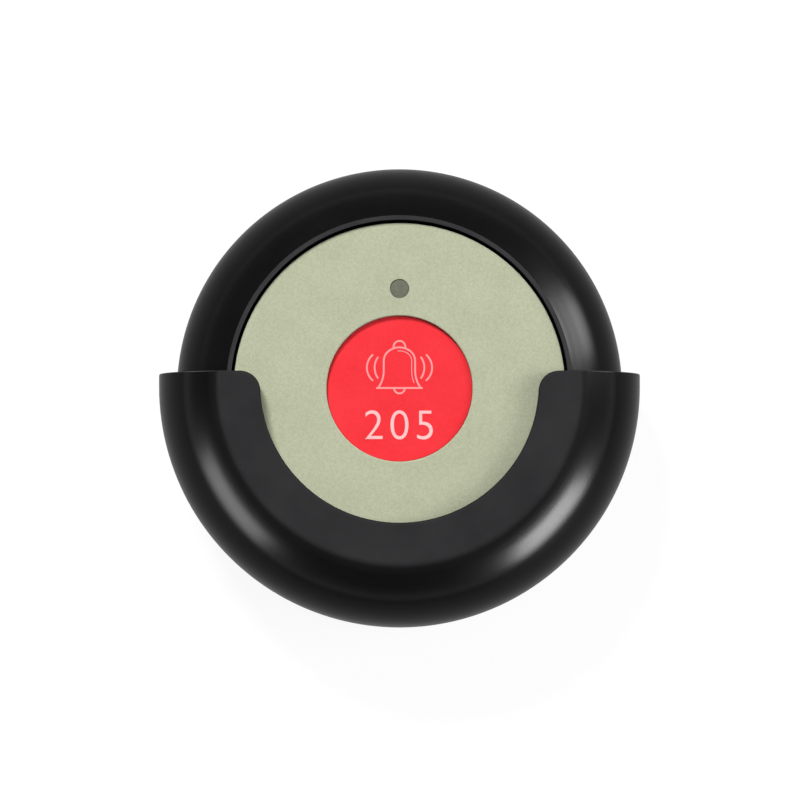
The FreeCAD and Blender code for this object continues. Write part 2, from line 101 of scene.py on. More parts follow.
upper_bow_r = puck_radius - upper_bow_radius
lower_bow_r = puck_radius - lower_bow_radius

# %% [markdown]
# One piece at a time
#
# An operator works on everything that is selected, and the loaded pieces arrive selected.
# These helpers clear the selection first, so that each step touches one piece only.

# %% Helpers that pick
TOUCH = 1e-6
NEAR = 1e-5 / MM


def pick_nothing():
    """Leaves edit mode and clears the selection."""
    if bpy.context.mode != "OBJECT":
        bpy.ops.object.mode_set(mode="OBJECT")
    bpy.ops.object.select_all(action="DESELECT")


def pick_only(piece):
    pick_nothing()
    piece.select_set(True)
    bpy.context.view_layer.objects.active = piece


def edit(piece):
    pick_only(piece)
    bpy.ops.object.mode_set(mode="EDIT")
    bpy.ops.mesh.select_all(action="DESELECT")


def select_vertices(piece, wanted):
    """In edit mode, selects the vertices whose place in millimetres passes the test."""
    mesh = bmesh.from_edit_mesh(piece.data)
    bpy.ops.mesh.select_all(action="DESELECT")
    for vertex in mesh.verts:
        if wanted(vertex.co / MM):
            vertex.select = True
    mesh.select_flush(True)
    bmesh.update_edit_mesh(piece.data)


def merge_touching():
    """In edit mode, merges all vertices that lie on the same spot."""
    bpy.ops.mesh.select_all(action="SELECT")
    bpy.ops.mesh.remove_doubles(threshold=TOUCH)


def face_outwards():
    """In edit mode, turns all faces outwards, and leaves."""
    bpy.ops.mesh.select_all(action="SELECT")
    bpy.ops.mesh.normals_make_consistent(inside=False)
    pick_nothing()


def report(piece):
    """Prints a piece's size, its faces and whether it is closed."""
    mesh = bmesh.new()
    mesh.from_mesh(piece.data)
    leaks = sum(1 for e in mesh.edges if not e.is_manifold)
    volume = mesh.calc_volume(signed=True) / MM ** 3
    sizes = [round(side / MM, 2) for side in piece.dimensions]
    print(piece.name, sizes, "faces", len(mesh.faces), "open edges", leaks, "mm3", round(volume))
    mesh.free()


# %% [markdown]
# A pen and a track
#
# Most casings are bodies of revolution with bowed sides. So a pen draws half a
# cross-section vertex by vertex, with straight lines by extrude and bows by spin, and one
# more spin turns the outline about the upright axis. What isn't round is drawn in the
# plan instead: a track drags a short edge along lines and bends, and leaves a band.

# %% The pen
FULL_TURN = 192
LONGEST_CHORD = 0.6
WIDEST_STEP = 10


def start_vertex(name, x, y, z):
    """A new piece that is a single vertex, open for editing."""
    pick_nothing()
    bpy.ops.mesh.primitive_plane_add(size=MM)
    bpy.context.object.name = name
    bpy.ops.object.mode_set(mode="EDIT")
    bpy.ops.mesh.merge(type="CENTER")
    bpy.ops.transform.translate(value=(x * MM, y * MM, z * MM))
    return bpy.context.object


def bend_steps(radius, turn):
    """How many straight pieces a bend of any size needs to look round."""
    length = radius * math.radians(abs(turn))
    return math.ceil(max(abs(turn) / WIDEST_STEP, length / LONGEST_CHORD))


def swung(x, y, centre_x, centre_y, turn):
    """A place in a plane, swung anticlockwise about a centre."""
    cosine = math.cos(math.radians(turn))
    sine = math.sin(math.radians(turn))
    dx = x - centre_x
    dy = y - centre_y
    return centre_x + dx * cosine - dy * sine, centre_y + dx * sine + dy * cosine


class Pen:
    """Draws an outline in the XZ plane of an upright axis that stands at axis_y."""

    def __init__(self, name, r, z, axis_y=0.0):
        self.piece = start_vertex(name, r, axis_y, z)
        self.r = r
        self.z = z
        self.axis_y = axis_y

    def line(self, r, z):
        step = ((r - self.r) * MM, 0, (z - self.z) * MM)
        bpy.ops.mesh.extrude_vertices_move(TRANSFORM_OT_translate={"value": step})
        self.r = r
        self.z = z
        return self

    def arc(self, centre_r, centre_z, turn):
        """Goes round a centre by turn degrees, anticlockwise if turn is positive."""
        steps = bend_steps(math.dist((self.r, self.z), (centre_r, centre_z)), turn)
        centre = (centre_r * MM, self.axis_y * MM, centre_z * MM)
        bpy.ops.mesh.spin(steps=steps, angle=math.radians(turn), center=centre, axis=(0, 1, 0))
        self.r, self.z = swung(self.r, self.z, centre_r, centre_z, turn)
        return self

    def turned(self, steps=FULL_TURN, turn=360):
        """Turns the whole outline about the axis and merges where it meets itself."""
        merge_touching()
        centre = (0, self.axis_y * MM, 0)
        bpy.ops.mesh.spin(steps=steps, angle=math.radians(turn), center=centre, axis=(0, 0, 1))
        merge_touching()
        face_outwards()
        return self.piece


# %% The track
class Track:
    """Drags an edge through the plan: an upright one leaves a wall, a level one a band."""

    def __init__(self, name, x, y, heading, low, rise=0.0, width=0.0):
        aside = math.radians(heading + 90)
        across = (width * math.cos(aside), width * math.sin(aside), rise)
        self.piece = start_vertex(name, x - across[0] / 2, y - across[1] / 2, low)
        edge = [side * MM for side in across]
        bpy.ops.mesh.extrude_vertices_move(TRANSFORM_OT_translate={"value": edge})
        bpy.ops.mesh.select_all(action="SELECT")
        self.x = x
        self.y = y
        self.heading = heading

    def line(self, length):
        along = math.radians(self.heading)
        dx = length * math.cos(along)
        dy = length * math.sin(along)
        bpy.ops.mesh.extrude_region_move(TRANSFORM_OT_translate={"value": (dx * MM, dy * MM, 0)})
        self.x += dx
        self.y += dy
        return self

    def bend(self, radius, turn):
        """Bends to the left by turn degrees, or to the right if turn is negative."""
        aside = math.radians(self.heading + math.copysign(90, turn))
        x = self.x + radius * math.cos(aside)
        y = self.y + radius * math.sin(aside)
        centre = (x * MM, y * MM, 0)
        steps = bend_steps(radius, turn)
        bpy.ops.mesh.spin(steps=steps, angle=-math.radians(turn), center=centre, axis=(0, 0, 1))
        self.x, self.y = swung(self.x, self.y, x, y, turn)
        self.heading += turn
        return self

    def face(self, heading):
        """Turns an upright edge on the spot, which leaves a corner."""
        self.heading = heading
        return self

    def open_wall(self):
        pick_nothing()
        return self.piece

    def block(self):
        """Closes a wall that is back at its start into a block."""
        merge_touching()
        bpy.ops.mesh.fill_holes(sides=0)
        face_outwards()
        return self.piece

    def raised(self, thickness):
        """Gives a band its thickness."""
        bpy.ops.mesh.select_all(action="SELECT")
        bpy.ops.mesh.extrude_region_move(TRANSFORM_OT_translate={"value": (0, 0, thickness * MM)})
        face_outwards()
        return self.piece


# %% Places on a bow


def bow_reach(bow_r, radius, z):
    """How far from the axis a bow is at height z."""
    return bow_r + math.sqrt(radius ** 2 - (z - equator_z) ** 2)


def bow_angle(bow_r, r, z):
    """The angle of a place on a bow, in degrees above the bow's centre."""
    return math.degrees(math.atan2(z - equator_z, r - bow_r))


def bow_corner(bow_r, radius, flat_z, rounding):
    """The centre and the angle of a rounding between a bow and a level face."""
    side = 1 if flat_z > equator_z else -1
    z = flat_z - side * rounding
    r = bow_r + math.sqrt((radius - rounding) ** 2 - (z - equator_z) ** 2)
    return r, z, bow_angle(bow_r, r, z)


# %% [markdown]
# Cutting, joining and softening
#
# Holes, seats and bosses are separate tools that are cut out of a casing or joined to it.
# Real mouldings have no sharp edge anywhere, and the thin line of light on a softened
# edge is what makes a black casing readable, so each casing ends with a small bevel.

# %% Helpers that cut and soften
SHARP = 35
BEVEL_STEPS = 2
SMOOTH_BELOW = 32


def combine(piece, tool, operation="DIFFERENCE"):
    """Cuts tool out of piece, or joins it on, and clears the tool away."""
    pick_only(piece)
    bpy.ops.object.modifier_add(type="BOOLEAN")
    cut = piece.modifiers[-1]
    cut.operation = operation
    cut.solver = "EXACT"
    cut.object = tool
    bpy.ops.object.modifier_apply(modifier=cut.name)
    bpy.data.objects.remove(tool)
    return piece


def weld(piece):
    """Merges vertices that lie on the same spot, as cuts and letters leave them."""
    edit(piece)
    merge_touching()
    pick_nothing()
    return piece


def soften(piece, width):
    """Rounds every sharp edge of a piece by a width in millimetres."""
    pick_only(piece)
    bpy.ops.object.modifier_add(type="BEVEL")
    bevel = piece.modifiers[-1]
    bevel.width = width * MM
    bevel.segments = BEVEL_STEPS
    bevel.limit_method = "ANGLE"
    bevel.angle_limit = math.radians(SHARP)
    bevel.use_clamp_overlap = False
    bpy.ops.object.modifier_apply(modifier=bevel.name)
    return piece


def polish(piece):
    """Smooth shading that keeps flat faces flat."""
    pick_only(piece)
    bpy.ops.object.shade_smooth_by_angle(angle=math.radians(SMOOTH_BELOW))
    bpy.ops.object.modifier_add(type="WEIGHTED_NORMAL")
    weighted = piece.modifiers[-1]
    weighted.keep_sharp = True
    bpy.ops.object.modifier_apply(modifier=weighted.name)
    report(piece)
    return piece


def settled(name):
    """Names the new object and makes its place and size part of its mesh."""
    bpy.context.object.name = name
    bpy.ops.object.transform_apply(location=True, rotation=False, scale=True)
    return bpy.context.object


def post(name, radius, low, high, x, y, sides=64):
    """An upright round bar, used as a boss or as a drill."""
    pick_nothing()
    place = (x * MM, y * MM, (low + high) / 2 * MM)
    depth = (high - low) * MM
    bpy.ops.mesh.primitive_cylinder_add(vertices=sides, radius=radius * MM, depth=depth, location=place)
    return settled(name)


def bar(name, x0, x1, y0, y1, low, high):
    """A square block between three pairs of places."""
    pick_nothing()
    place = ((x0 + x1) / 2 * MM, (y0 + y1) / 2 * MM, (low + high) / 2 * MM)
    bpy.ops.mesh.primitive_cube_add(size=1, location=place)
    bpy.context.object.scale = ((x1 - x0) * MM, (y1 - y0) * MM, (high - low) * MM)
    return settled(name)


# %% [markdown]
# Finishes
#
# Every surface gets a finish with some life in it: two close tones that drift over the
# surface, a roughness that drifts too, and a fine grain as bump. One function wires this
# up, because the finishes differ in colours and scales and not in how they are built.

# %% A finish with drifting tone and grain
DRIFT_FROM = 0.35
DRIFT_TO = 0.65
DRIFT_DETAIL = 4
GRAIN_DETAIL = 2


def add_node(tree, kind, **settings):
    node = tree.nodes.new(kind)
    for name, value in settings.items():
        setattr(node, name, value)
    return node


def finish(name, dark, light, rough=(0.35, 0.45), grain_mm=0.25, grain_um=2.0, drift_mm=6.0,
           metallic=0.0, specular=0.5, coat=0.0):
    """A surface between two linear colours, with grain sizes in millimetres and micrometres."""
    material = bpy.data.materials.new(name)
    material.use_nodes = True
    tree = material.node_tree
    shader = tree.nodes["Principled BSDF"]
    shader.inputs["Metallic"].default_value = metallic
    shader.inputs["Specular IOR Level"].default_value = specular
    shader.inputs["Coat Weight"].default_value = coat
    place = add_node(tree, "ShaderNodeTexCoord")
    drift = add_node(tree, "ShaderNodeTexNoise")
    drift.inputs["Scale"].default_value = 1 / (drift_mm * MM)
    drift.inputs["Detail"].default_value = DRIFT_DETAIL
    tone = add_node(tree, "ShaderNodeValToRGB")
    tone.color_ramp.elements[0].position = DRIFT_FROM
    tone.color_ramp.elements[0].color = (*dark, 1)
    tone.color_ramp.elements[1].position = DRIFT_TO
    tone.color_ramp.elements[1].color = (*light, 1)
    spread = add_node(tree, "ShaderNodeMapRange")
    spread.inputs["To Min"].default_value = rough[0]
    spread.inputs["To Max"].default_value = rough[1]
    grain = add_node(tree, "ShaderNodeTexNoise")
    grain.inputs["Scale"].default_value = 1 / (grain_mm * MM)
    grain.inputs["Detail"].default_value = GRAIN_DETAIL
    bump = add_node(tree, "ShaderNodeBump")
    bump.inputs["Distance"].default_value = grain_um * MM * MM
    link = tree.links.new
    link(place.outputs["Object"], drift.inputs["Vector"])
    link(place.outputs["Object"], grain.inputs["Vector"])
    link(drift.outputs["Fac"], tone.inputs["Fac"])
    link(drift.outputs["Fac"], spread.inputs["Value"])
    link(tone.outputs["Color"], shader.inputs["Base Color"])
    link(spread.outputs["Result"], shader.inputs["Roughness"])
    link(grain.outputs["Fac"], bump.inputs["Height"])
    link(bump.outputs["Normal"], shader.inputs["Normal"])
    return material


# %% Tint and flakes
def tinted(material, level):
    """Multiplies the tone of a finish by a level."""
    tree = material.node_tree
    shader = tree.nodes["Principled BSDF"]
    tone = shader.inputs["Base Color"].links[0].from_socket
    tint = add_node(tree, "ShaderNodeHueSaturation")
    tree.links.new(level, tint.inputs["Value"])
    tree.links.new(tone, tint.inputs["Color"])
    tree.links.new(tint.outputs["Color"], shader.inputs["Base Color"])
    return material


def flaked(material, flake_mm, spread):
    """Gives a paint tiny flakes that are each a little lighter or darker."""
    tree = material.node_tree
    place = add_node(tree, "ShaderNodeTexCoord")
    flakes = add_node(tree, "ShaderNodeTexVoronoi")
    flakes.inputs["Scale"].default_value = 1 / (flake_mm * MM)
    channel = add_node(tree, "ShaderNodeSeparateColor")
    level = add_node(tree, "ShaderNodeMapRange")
    level.inputs["To Min"].default_value = 1 - spread
    level.inputs["To Max"].default_value = 1 + spread
    tree.links.new(place.outputs["Object"], flakes.inputs["Vector"])
    tree.links.new(flakes.outputs["Color"], channel.inputs["Color"])
    tree.links.new(channel.outputs[0], level.inputs["Value"])
    return tinted(material, level.outputs["Result"])


# %% [markdown]
# Shine that follows the height
#
# Both black mouldings are satin on the bow and duller towards the foot, and the level tops
# of the lip and the rim are matt, with a painted sheen that makes them greyer. Ramps over
# the height drive the skin, the roughness and the painted sheen, so one material serves a
# whole moulding without a seam.

# %% Skin, dullness and painted sheen by height
def fill_ramp(ramp, stops):
    """Gives a ramp grey stops, which are pairs of place and value."""
    while len(ramp.color_ramp.elements) < len(stops):
        ramp.color_ramp.elements.new(0.5)
    for step, (place, value) in zip(ramp.color_ramp.elements, stops):
        step.position = place
        step.color = (value, value, value, 1)


def height_ramp(tree, stops):
    """A value that follows the height: stops are pairs of millimetres and value."""
    low_z = stops[0][0]
    high_z = stops[-1][0]
    place = add_node(tree, "ShaderNodeTexCoord")
    split = add_node(tree, "ShaderNodeSeparateXYZ")
    height = add_node(tree, "ShaderNodeMapRange")
    height.inputs["From Min"].default_value = low_z * MM
    height.inputs["From Max"].default_value = high_z * MM
    ramp = add_node(tree, "ShaderNodeValToRGB")
    ramp.color_ramp.interpolation = "EASE"
    fill_ramp(ramp, [((z - low_z) / (high_z - low_z), value) for z, value in stops])
    tree.links.new(place.outputs["Object"], split.inputs["Vector"])
    tree.links.new(split.outputs["Z"], height.inputs["Value"])
    tree.links.new(height.outputs["Result"], ramp.inputs["Fac"])
    return ramp.outputs["Color"]


def skinned(material, roughness, stops):
    """Gives a moulding a satin skin whose strength follows the height."""
    tree = material.node_tree
    shader = tree.nodes["Principled BSDF"]
    shader.inputs["Coat Roughness"].default_value = roughness
    tree.links.new(height_ramp(tree, stops), shader.inputs["Coat Weight"])
    tree.links.new(shader.inputs["Normal"].links[0].from_socket, shader.inputs["Coat Normal"])


def dulled(material, stops):
    """Adds to a finish's roughness by an amount that follows the height."""
    tree = material.node_tree
    rough = tree.nodes["Principled BSDF"].inputs["Roughness"]
    total = add_node(tree, "ShaderNodeMath", operation="ADD")
    tree.links.new(rough.links[0].from_socket, total.inputs[0])
    tree.links.new(height_ramp(tree, stops), total.inputs[1])
    tree.links.new(total.outputs["Value"], rough)


def painted_sheen(material, stops):
    """Paints a sheen: makes a finish lighter or darker by a factor that follows the height."""
    tinted(material, height_ramp(material.node_tree, stops))


# %% The finishes of the parts that show
SKIN_ROUGHNESS = 0.24
cradle_black = finish("satin cradle black", (0.0034, 0.0034, 0.0036), (0.0042, 0.0042, 0.0044),
                      rough=(0.32, 0.40), grain_mm=0.18, grain_um=0.8, specular=0.03)
skinned(cradle_black, SKIN_ROUGHNESS, ((17.8, 0.06), (19.4, 0.75), (20.5, 0.75), (21.28, 0.0)))
dulled(cradle_black, ((20.9, 0.0), (21.28, 0.5)))
# Painted sheen: the tone rises up to 7.4 times on the lip's level top, standing in for mirrored light.
painted_sheen(cradle_black, ((20.5, 1.0), (21.0, 2.4), (21.28, 7.4)))
case_black = finish("satin case black", (0.0036, 0.0036, 0.0038), (0.0046, 0.0046, 0.0048),
                    rough=(0.32, 0.40), grain_mm=0.16, grain_um=0.8, specular=0.03)
skinned(case_black, SKIN_ROUGHNESS, ((16.4, 0.06), (18.3, 0.85), (19.06, 0.85), (19.15, 0.08)))
dulled(case_black, ((19.06, 0.0), (19.15, 0.4)))
# Painted highlight: the tone rises 8.5 times on the rim's level top, a painted line of light.
painted_sheen(case_black, ((19.06, 1.0), (19.15, 8.5)))
champagne = flaked(finish("champagne metallic", (0.446, 0.469, 0.332), (0.470, 0.493, 0.353),
                          rough=(0.54, 0.62), grain_mm=0.12, grain_um=1.0, drift_mm=5.0,
                          metallic=0.06, specular=0.1), flake_mm=0.2, spread=0.075)
key_red = flaked(finish("call red", (0.83, 0.034, 0.044), (0.87, 0.040, 0.052),
                        rough=(0.52, 0.60), grain_mm=0.15, grain_um=1.0, specular=0.07),
                 flake_mm=0.25, spread=0.03)
bell_ink = finish("rose ink", (0.90, 0.30, 0.30), (0.94, 0.34, 0.34),
                  rough=(0.5, 0.6), specular=0.1)
number_ink = finish("pale ink", (0.94, 0.50, 0.50), (0.97, 0.56, 0.56),
                    rough=(0.5, 0.6), specular=0.1)
smoke_grey = flaked(finish("smoke grey lens", (0.138, 0.144, 0.108), (0.154, 0.161, 0.120),
                           rough=(0.46, 0.54), grain_mm=0.2, grain_um=1.5, drift_mm=0.8, specular=0.25),
                    flake_mm=0.22, spread=0.10)
foam = finish("pad foam", (0.62, 0.62, 0.58), (0.78, 0.78, 0.74),
              rough=(0.8, 0.95), grain_mm=0.35, grain_um=60, drift_mm=1.0, specular=0.2)
rubber = finish("seal rubber", (0.02, 0.02, 0.02), (0.035, 0.035, 0.035), rough=(0.6, 0.75))
bright_steel = finish("bright steel", (0.52, 0.52, 0.54), (0.66, 0.66, 0.68),
                      rough=(0.22, 0.34), grain_mm=0.2, grain_um=1.5, drift_mm=1.0, metallic=1.0)
tinned = finish("tinned contact", (0.60, 0.59, 0.56), (0.74, 0.73, 0.70),
                rough=(0.28, 0.40), drift_mm=1.5, metallic=1.0)
board_green = finish("board green", (0.012, 0.12, 0.04), (0.03, 0.20, 0.08),
                     rough=(0.30, 0.42), grain_mm=0.6, grain_um=6, drift_mm=2.0, coat=0.3)
part_black = finish("moulded part black", (0.014, 0.014, 0.014), (0.026, 0.026, 0.026),
                    rough=(0.45, 0.6))
copper = finish("bare copper", (0.62, 0.30, 0.15), (0.78, 0.42, 0.24), rough=(0.25, 0.38), metallic=1.0)
red_lens = finish("red lens", (0.50, 0.06, 0.05), (0.62, 0.10, 0.08), rough=(0.1, 0.16), grain_um=0.4)
ceramic = finish("brown ceramic", (0.36, 0.25, 0.15), (0.48, 0.36, 0.23),
                 rough=(0.4, 0.55), drift_mm=0.8)
battery_silver = finish("battery silver", (0.62, 0.61, 0.58), (0.74, 0.73, 0.70),
                        rough=(0.24, 0.34), drift_mm=2.0, metallic=1.0)
jacket = finish("battery jacket", (0.05, 0.06, 0.09), (0.08, 0.09, 0.13), rough=(0.2, 0.3), coat=0.4)
print("finishes", len(bpy.data.materials))


def hand_over(piece, body, slot, material, *nodes):
    """Gives a piece its finish and body, and hides the working pieces that it stands for."""
    piece.data.materials.clear()
    piece.data.materials.append(material)
    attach(piece, body)
    if nodes:
        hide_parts(*nodes)


# %% [markdown]
# The cradle
#
# The cradle is one black moulding: a floor, a bowed wall round half of the puck and a
# flat lip over its edge. A full ring with a block cut away would leave slivers along the
# cut, and the softened edges would tear there. So the outside and the pocket are turned
# as two strips, the lip's edge and the tongue are drawn as walls, and the arm ends, the
# lip and the floor are filled in between them as flat faces.

# %% Cradle sizes
cradle_upper = upper_bow_radius + pocket_gap + cradle_wall
cradle_lower = lower_bow_radius + pocket_gap + cradle_wall
pocket_upper = upper_bow_radius + pocket_gap
pocket_lower = lower_bow_radius + pocket_gap
lip_top_z = cradle_high.z
lip_under_z = lip_top_z - lip_thickness
tongue_radius = cradle_high.y
foot_rounding = 0.8
lip_edge_rounding = 1.4
lip_corner_radius = 2.7
mouth_rounding = 0.4
mouth_segments = 4
well_inside = 1.0
arm_bevel = 0.15
cut_bevel = 0.08
half_turn_steps = 96

foot_r, foot_z, foot_angle = bow_corner(lower_bow_r, cradle_lower, 0, foot_rounding)
edge_r, edge_z, edge_angle = bow_corner(upper_bow_r, cradle_upper, lip_top_z, lip_edge_rounding)
roof_r = bow_reach(upper_bow_r, pocket_upper, lip_under_z)
floor_r = bow_reach(lower_bow_r, pocket_lower, cradle_floor)
corner_y = open_side_y - lip_corner_radius
corner_x = math.sqrt((lip_inner_radius + lip_corner_radius) ** 2 - corner_y ** 2)
corner_lean = math.degrees(math.atan2(corner_y, corner_x))
tongue_x = math.sqrt(tongue_radius ** 2 - open_side_y ** 2)
tongue_lean = math.degrees(math.atan2(open_side_y, tongue_x))
print("lip flat from", lip_inner_radius, "to", round(edge_r, 2))
print("pocket from", round(roof_r, 2), "to", round(floor_r, 2))


# %% Strips of the cradle
def half_turned(pen):
    """Turns an outline through the closed half and draws both arms out to the open side."""
    strip = pen.turned(steps=half_turn_steps, turn=180)
    edit(strip)
    select_vertices(strip, lambda place: abs(place.y) < TOUCH / MM)
    bpy.ops.mesh.extrude_region_move(TRANSFORM_OT_translate={"value": (0, open_side_y * MM, 0)})
    pick_nothing()
    return strip


def outside_strip():
    pen = Pen("cradle outside", foot_r, 0)
    pen.arc(foot_r, foot_z, 90 + foot_angle)
    pen.arc(lower_bow_r, equator_z, -foot_angle)
    pen.arc(upper_bow_r, equator_z, edge_angle)
    pen.arc(edge_r, edge_z, 90 - edge_angle)
    return half_turned(pen)


def pocket_strip():
    pen = Pen("cradle pocket", roof_r, lip_under_z)
    pen.arc(upper_bow_r, equator_z, -bow_angle(upper_bow_r, roof_r, lip_under_z))
    pen.arc(lower_bow_r, equator_z, bow_angle(lower_bow_r, floor_r, cradle_floor))
    return half_turned(pen)


def lip_edge_strip():
    """Down one round corner, round the mouth and up the other corner."""
    track = Track("cradle lip edge", corner_x, open_side_y, 180, lip_under_z, rise=lip_thickness)
    track.bend(lip_corner_radius, 90 + corner_lean)
    track.bend(lip_inner_radius, -(180 + 2 * corner_lean))
    track.bend(lip_corner_radius, 90 + corner_lean)
    return track.open_wall()


def tongue_strip():
    track = Track("cradle tongue", tongue_x, open_side_y, 90 + tongue_lean, 0, rise=cradle_floor)
    track.bend(tongue_radius, 180 - 2 * tongue_lean)
    return track.open_wall()


# %% Flat faces between the strips
def joined(name, pieces):
    pick_nothing()
    for piece in pieces:
        piece.select_set(True)
    bpy.context.view_layer.objects.active = pieces[0]
    bpy.ops.object.join()
    bpy.context.object.name = name
    return bpy.context.object


def link_places(piece, places):
    """Draws an edge between the two vertices at the given places."""
    select_vertices(piece, lambda p: any(math.dist(p, place) < NEAR for place in places))
    bpy.ops.mesh.edge_face_add()


def close_cradle(shell):
    """Fills the two arm ends, then the lip's and the floor's upper and lower faces."""
    edit(shell)
    gaps = (
        (foot_r, tongue_x, 0),
        (floor_r, tongue_x, cradle_floor),
        (edge_r, corner_x, lip_top_z),
        (roof_r, corner_x, lip_under_z),
    )
    for side in (-1, 1):
        for outer, inner, z in gaps:
            link_places(shell, ((side * outer, open_side_y, z), (side * inner, open_side_y, z)))
        select_vertices(shell, lambda p: abs(p.y - open_side_y) < NEAR and p.x * side > 0)
        bpy.ops.mesh.edge_face_add()
    bpy.ops.mesh.select_all(action="SELECT")
    bpy.ops.mesh.fill_holes(sides=0)
    face_outwards()
    return shell


def round_mouth(cradle):
    """Rounds the lip's upper edge round the mouth more than the arm ends."""
    edit(cradle)
    reach = edge_r - well_inside
    select_vertices(cradle, lambda p: abs(p.z - lip_top_z) < NEAR and math.hypot(p.x, p.y) < reach)
    bpy.ops.mesh.bevel(offset=mouth_rounding * MM, segments=mouth_segments, affect="EDGES",
                       clamp_overlap=False)
    pick_nothing()


# %% Screw holes and the pad's recess
screw_spacing = 16.0
screw_hole_radius = 1.7
countersink_radius = 3.2
countersink_depth = 1.1
recess_depth = 0.85
recess_inner_radius = 13.0
recess_outer_radius = 25.0


def pad_recess_tool():
    pen = Pen("recess tool", recess_inner_radius, -overrun)
    pen.line(recess_outer_radius, -overrun).line(recess_outer_radius, recess_depth)
    pen.line(recess_inner_radius, recess_depth).line(recess_inner_radius, -overrun)
    return pen.turned(steps=128)


def screw_hole_tool(x):
    """A drill with a cone, for a countersunk screw."""
    sink_z = cradle_floor - countersink_depth
    top_z = cradle_floor + overrun
    slope = (countersink_radius - screw_hole_radius) / countersink_depth
    pen = Pen("screw drill", 0, -overrun)
    pen.line(screw_hole_radius, -overrun).line(screw_hole_radius, sink_z)
    pen.line(countersink_radius + slope * overrun, top_z).line(0, top_z)
    drill = pen.turned(steps=64)
    edit(drill)
    bpy.ops.mesh.select_all(action="SELECT")
    bpy.ops.transform.translate(value=(x * MM, 0, 0))
    pick_nothing()
    return drill


def make_cradle():
    strips = [outside_strip(), pocket_strip(), lip_edge_strip(), tongue_strip()]
    cradle = close_cradle(joined("cradle", strips))
    round_mouth(cradle)
    soften(cradle, arm_bevel)
    report(cradle)
    combine(cradle, pad_recess_tool())
    for x in (-screw_spacing / 2, screw_spacing / 2):
        combine(cradle, screw_hole_tool(x))
    soften(cradle, cut_bevel)
    return polish(cradle)


cradle = make_cradle()
hand_over(cradle, "holder", "holder_black", cradle_black, "holder_cradle")

# %% [markdown]
# The adhesive pad
#
# A ring of foam sits in a recess under the cradle. It is cut from sheet, so its edges are
# plain, but foam never keeps a sharp edge and its face is slightly uneven.

# %% Adhesive pad
pad_outer_radius = pad_high.x
pad_inner_radius = recess_inner_radius + recess_outer_radius - pad_outer_radius
pad_bevel = 0.12


def make_pad():
    pen = Pen("foam_pad", pad_inner_radius, pad_low.z)
    pen.line(pad_outer_radius, pad_low.z).line(pad_outer_radius, pad_high.z)
    pen.line(pad_inner_radius, pad_high.z).line(pad_inner_radius, pad_low.z)
    return polish(soften(pen.turned(steps=128), pad_bevel))


pad = make_pad()
hand_over(pad, "holder", "pad_foam", foam, "adhesive_pad")

# %% [markdown]
# The puck's upper shell
#
# The ring round the face is the upper shell's bowed side. It ends in a thin upright rim,
# and the face plate lies inside that rim on a deck. Below the deck are the key's guide,
# the screw bosses and the ribs over the battery, which are separate bars joined on.

# %% Upper shell sizes
rim_outer_radius = 23.08
rim_inner_radius = 22.50
rim_height = 0.15
rim_foot_z = rim_top_z - rim_height
rim_rounding = 0.06
plate_overlap = 0.06
plate_radius = plate_high.x + plate_overlap
groove_depth = 0.7
deck_thickness = 1.5
deck_under_z = deck_top_z - deck_thickness
key_hole_radius = 9.88
lens_y = (lens_low.y + lens_high.y) / 2
lens_hole_radius = 1.33
inside_upper = upper_bow_radius - case_wall
inside_lower = lower_bow_radius - case_wall
case_screw_circle = 24.7
case_screw_angles = (30, 150, 270)
case_boss_radius = 2.3
boss_sink = 0.1
case_boss_top_z = deck_under_z + boss_sink
case_bore_top_z = 14.25
screw_bore_radius = 1.05
guide_inner_radius = 11.1
guide_outer_radius = 12.1
board_post_x = 14.4
board_post_back = 1.0
board_post_y = puck_y - board_post_back
board_post_radius = 2.2
board_top_z = 11.0
board_bore_top_z = 13.85
rib_x = 8.0
rib_thickness = 1.2
rib_length = 4.0
rib_low_z = 14.65
rib_back = 0.3
battery_back = 12.5
battery_y = puck_y - battery_back
into_deck = 0.5
ring_bevel = 0.1


def bore(piece, low, high, x, y):
    """Drills the hole of a screw."""
    combine(piece, post("drill", screw_bore_radius, low, high, x, y, sides=32))


def case_screw_places():
    """The three case screws, as places in the plan."""
    for angle in case_screw_angles:
        turn = math.radians(angle)
        yield case_screw_circle * math.cos(turn), puck_y + case_screw_circle * math.sin(turn)


# %% Upper shell
def upper_shell_body():
    """The turned part: bowed side, rim, deck and the wall's inside."""
    low_r = bow_reach(upper_bow_r, inside_upper, equator_z)
    deck_r = bow_reach(upper_bow_r, inside_upper, deck_under_z)
    pen = Pen("upper_shell", low_r, equator_z, puck_y)
    pen.line(puck_radius, equator_z)
    pen.arc(upper_bow_r, equator_z, bow_angle(upper_bow_r, rim_outer_radius, rim_foot_z))
    pen.line(rim_outer_radius, rim_top_z - rim_rounding)
    pen.arc(rim_outer_radius - rim_rounding, rim_top_z - rim_rounding, 90)
    pen.line(rim_inner_radius + rim_rounding, rim_top_z)
    pen.arc(rim_inner_radius + rim_rounding, rim_top_z - rim_rounding, 90)
    pen.line(rim_inner_radius, deck_top_z)
    pen.line((rim_inner_radius + plate_radius) / 2, deck_top_z - groove_depth)
    pen.line(plate_radius, deck_top_z)
    pen.line(key_hole_radius, deck_top_z)
    pen.line(key_hole_radius, deck_under_z).line(deck_r, deck_under_z)
    pen.arc(upper_bow_r, equator_z, -bow_angle(upper_bow_r, deck_r, deck_under_z))
    return pen.turned()


def guide_tube():
    top = deck_under_z + into_deck
    pen = Pen("guide", guide_inner_radius, key_low.z, puck_y)
    pen.line(guide_outer_radius, key_low.z).line(guide_outer_radius, top)
    pen.line(guide_inner_radius, top).line(guide_inner_radius, key_low.z)
    return pen.turned(steps=96)


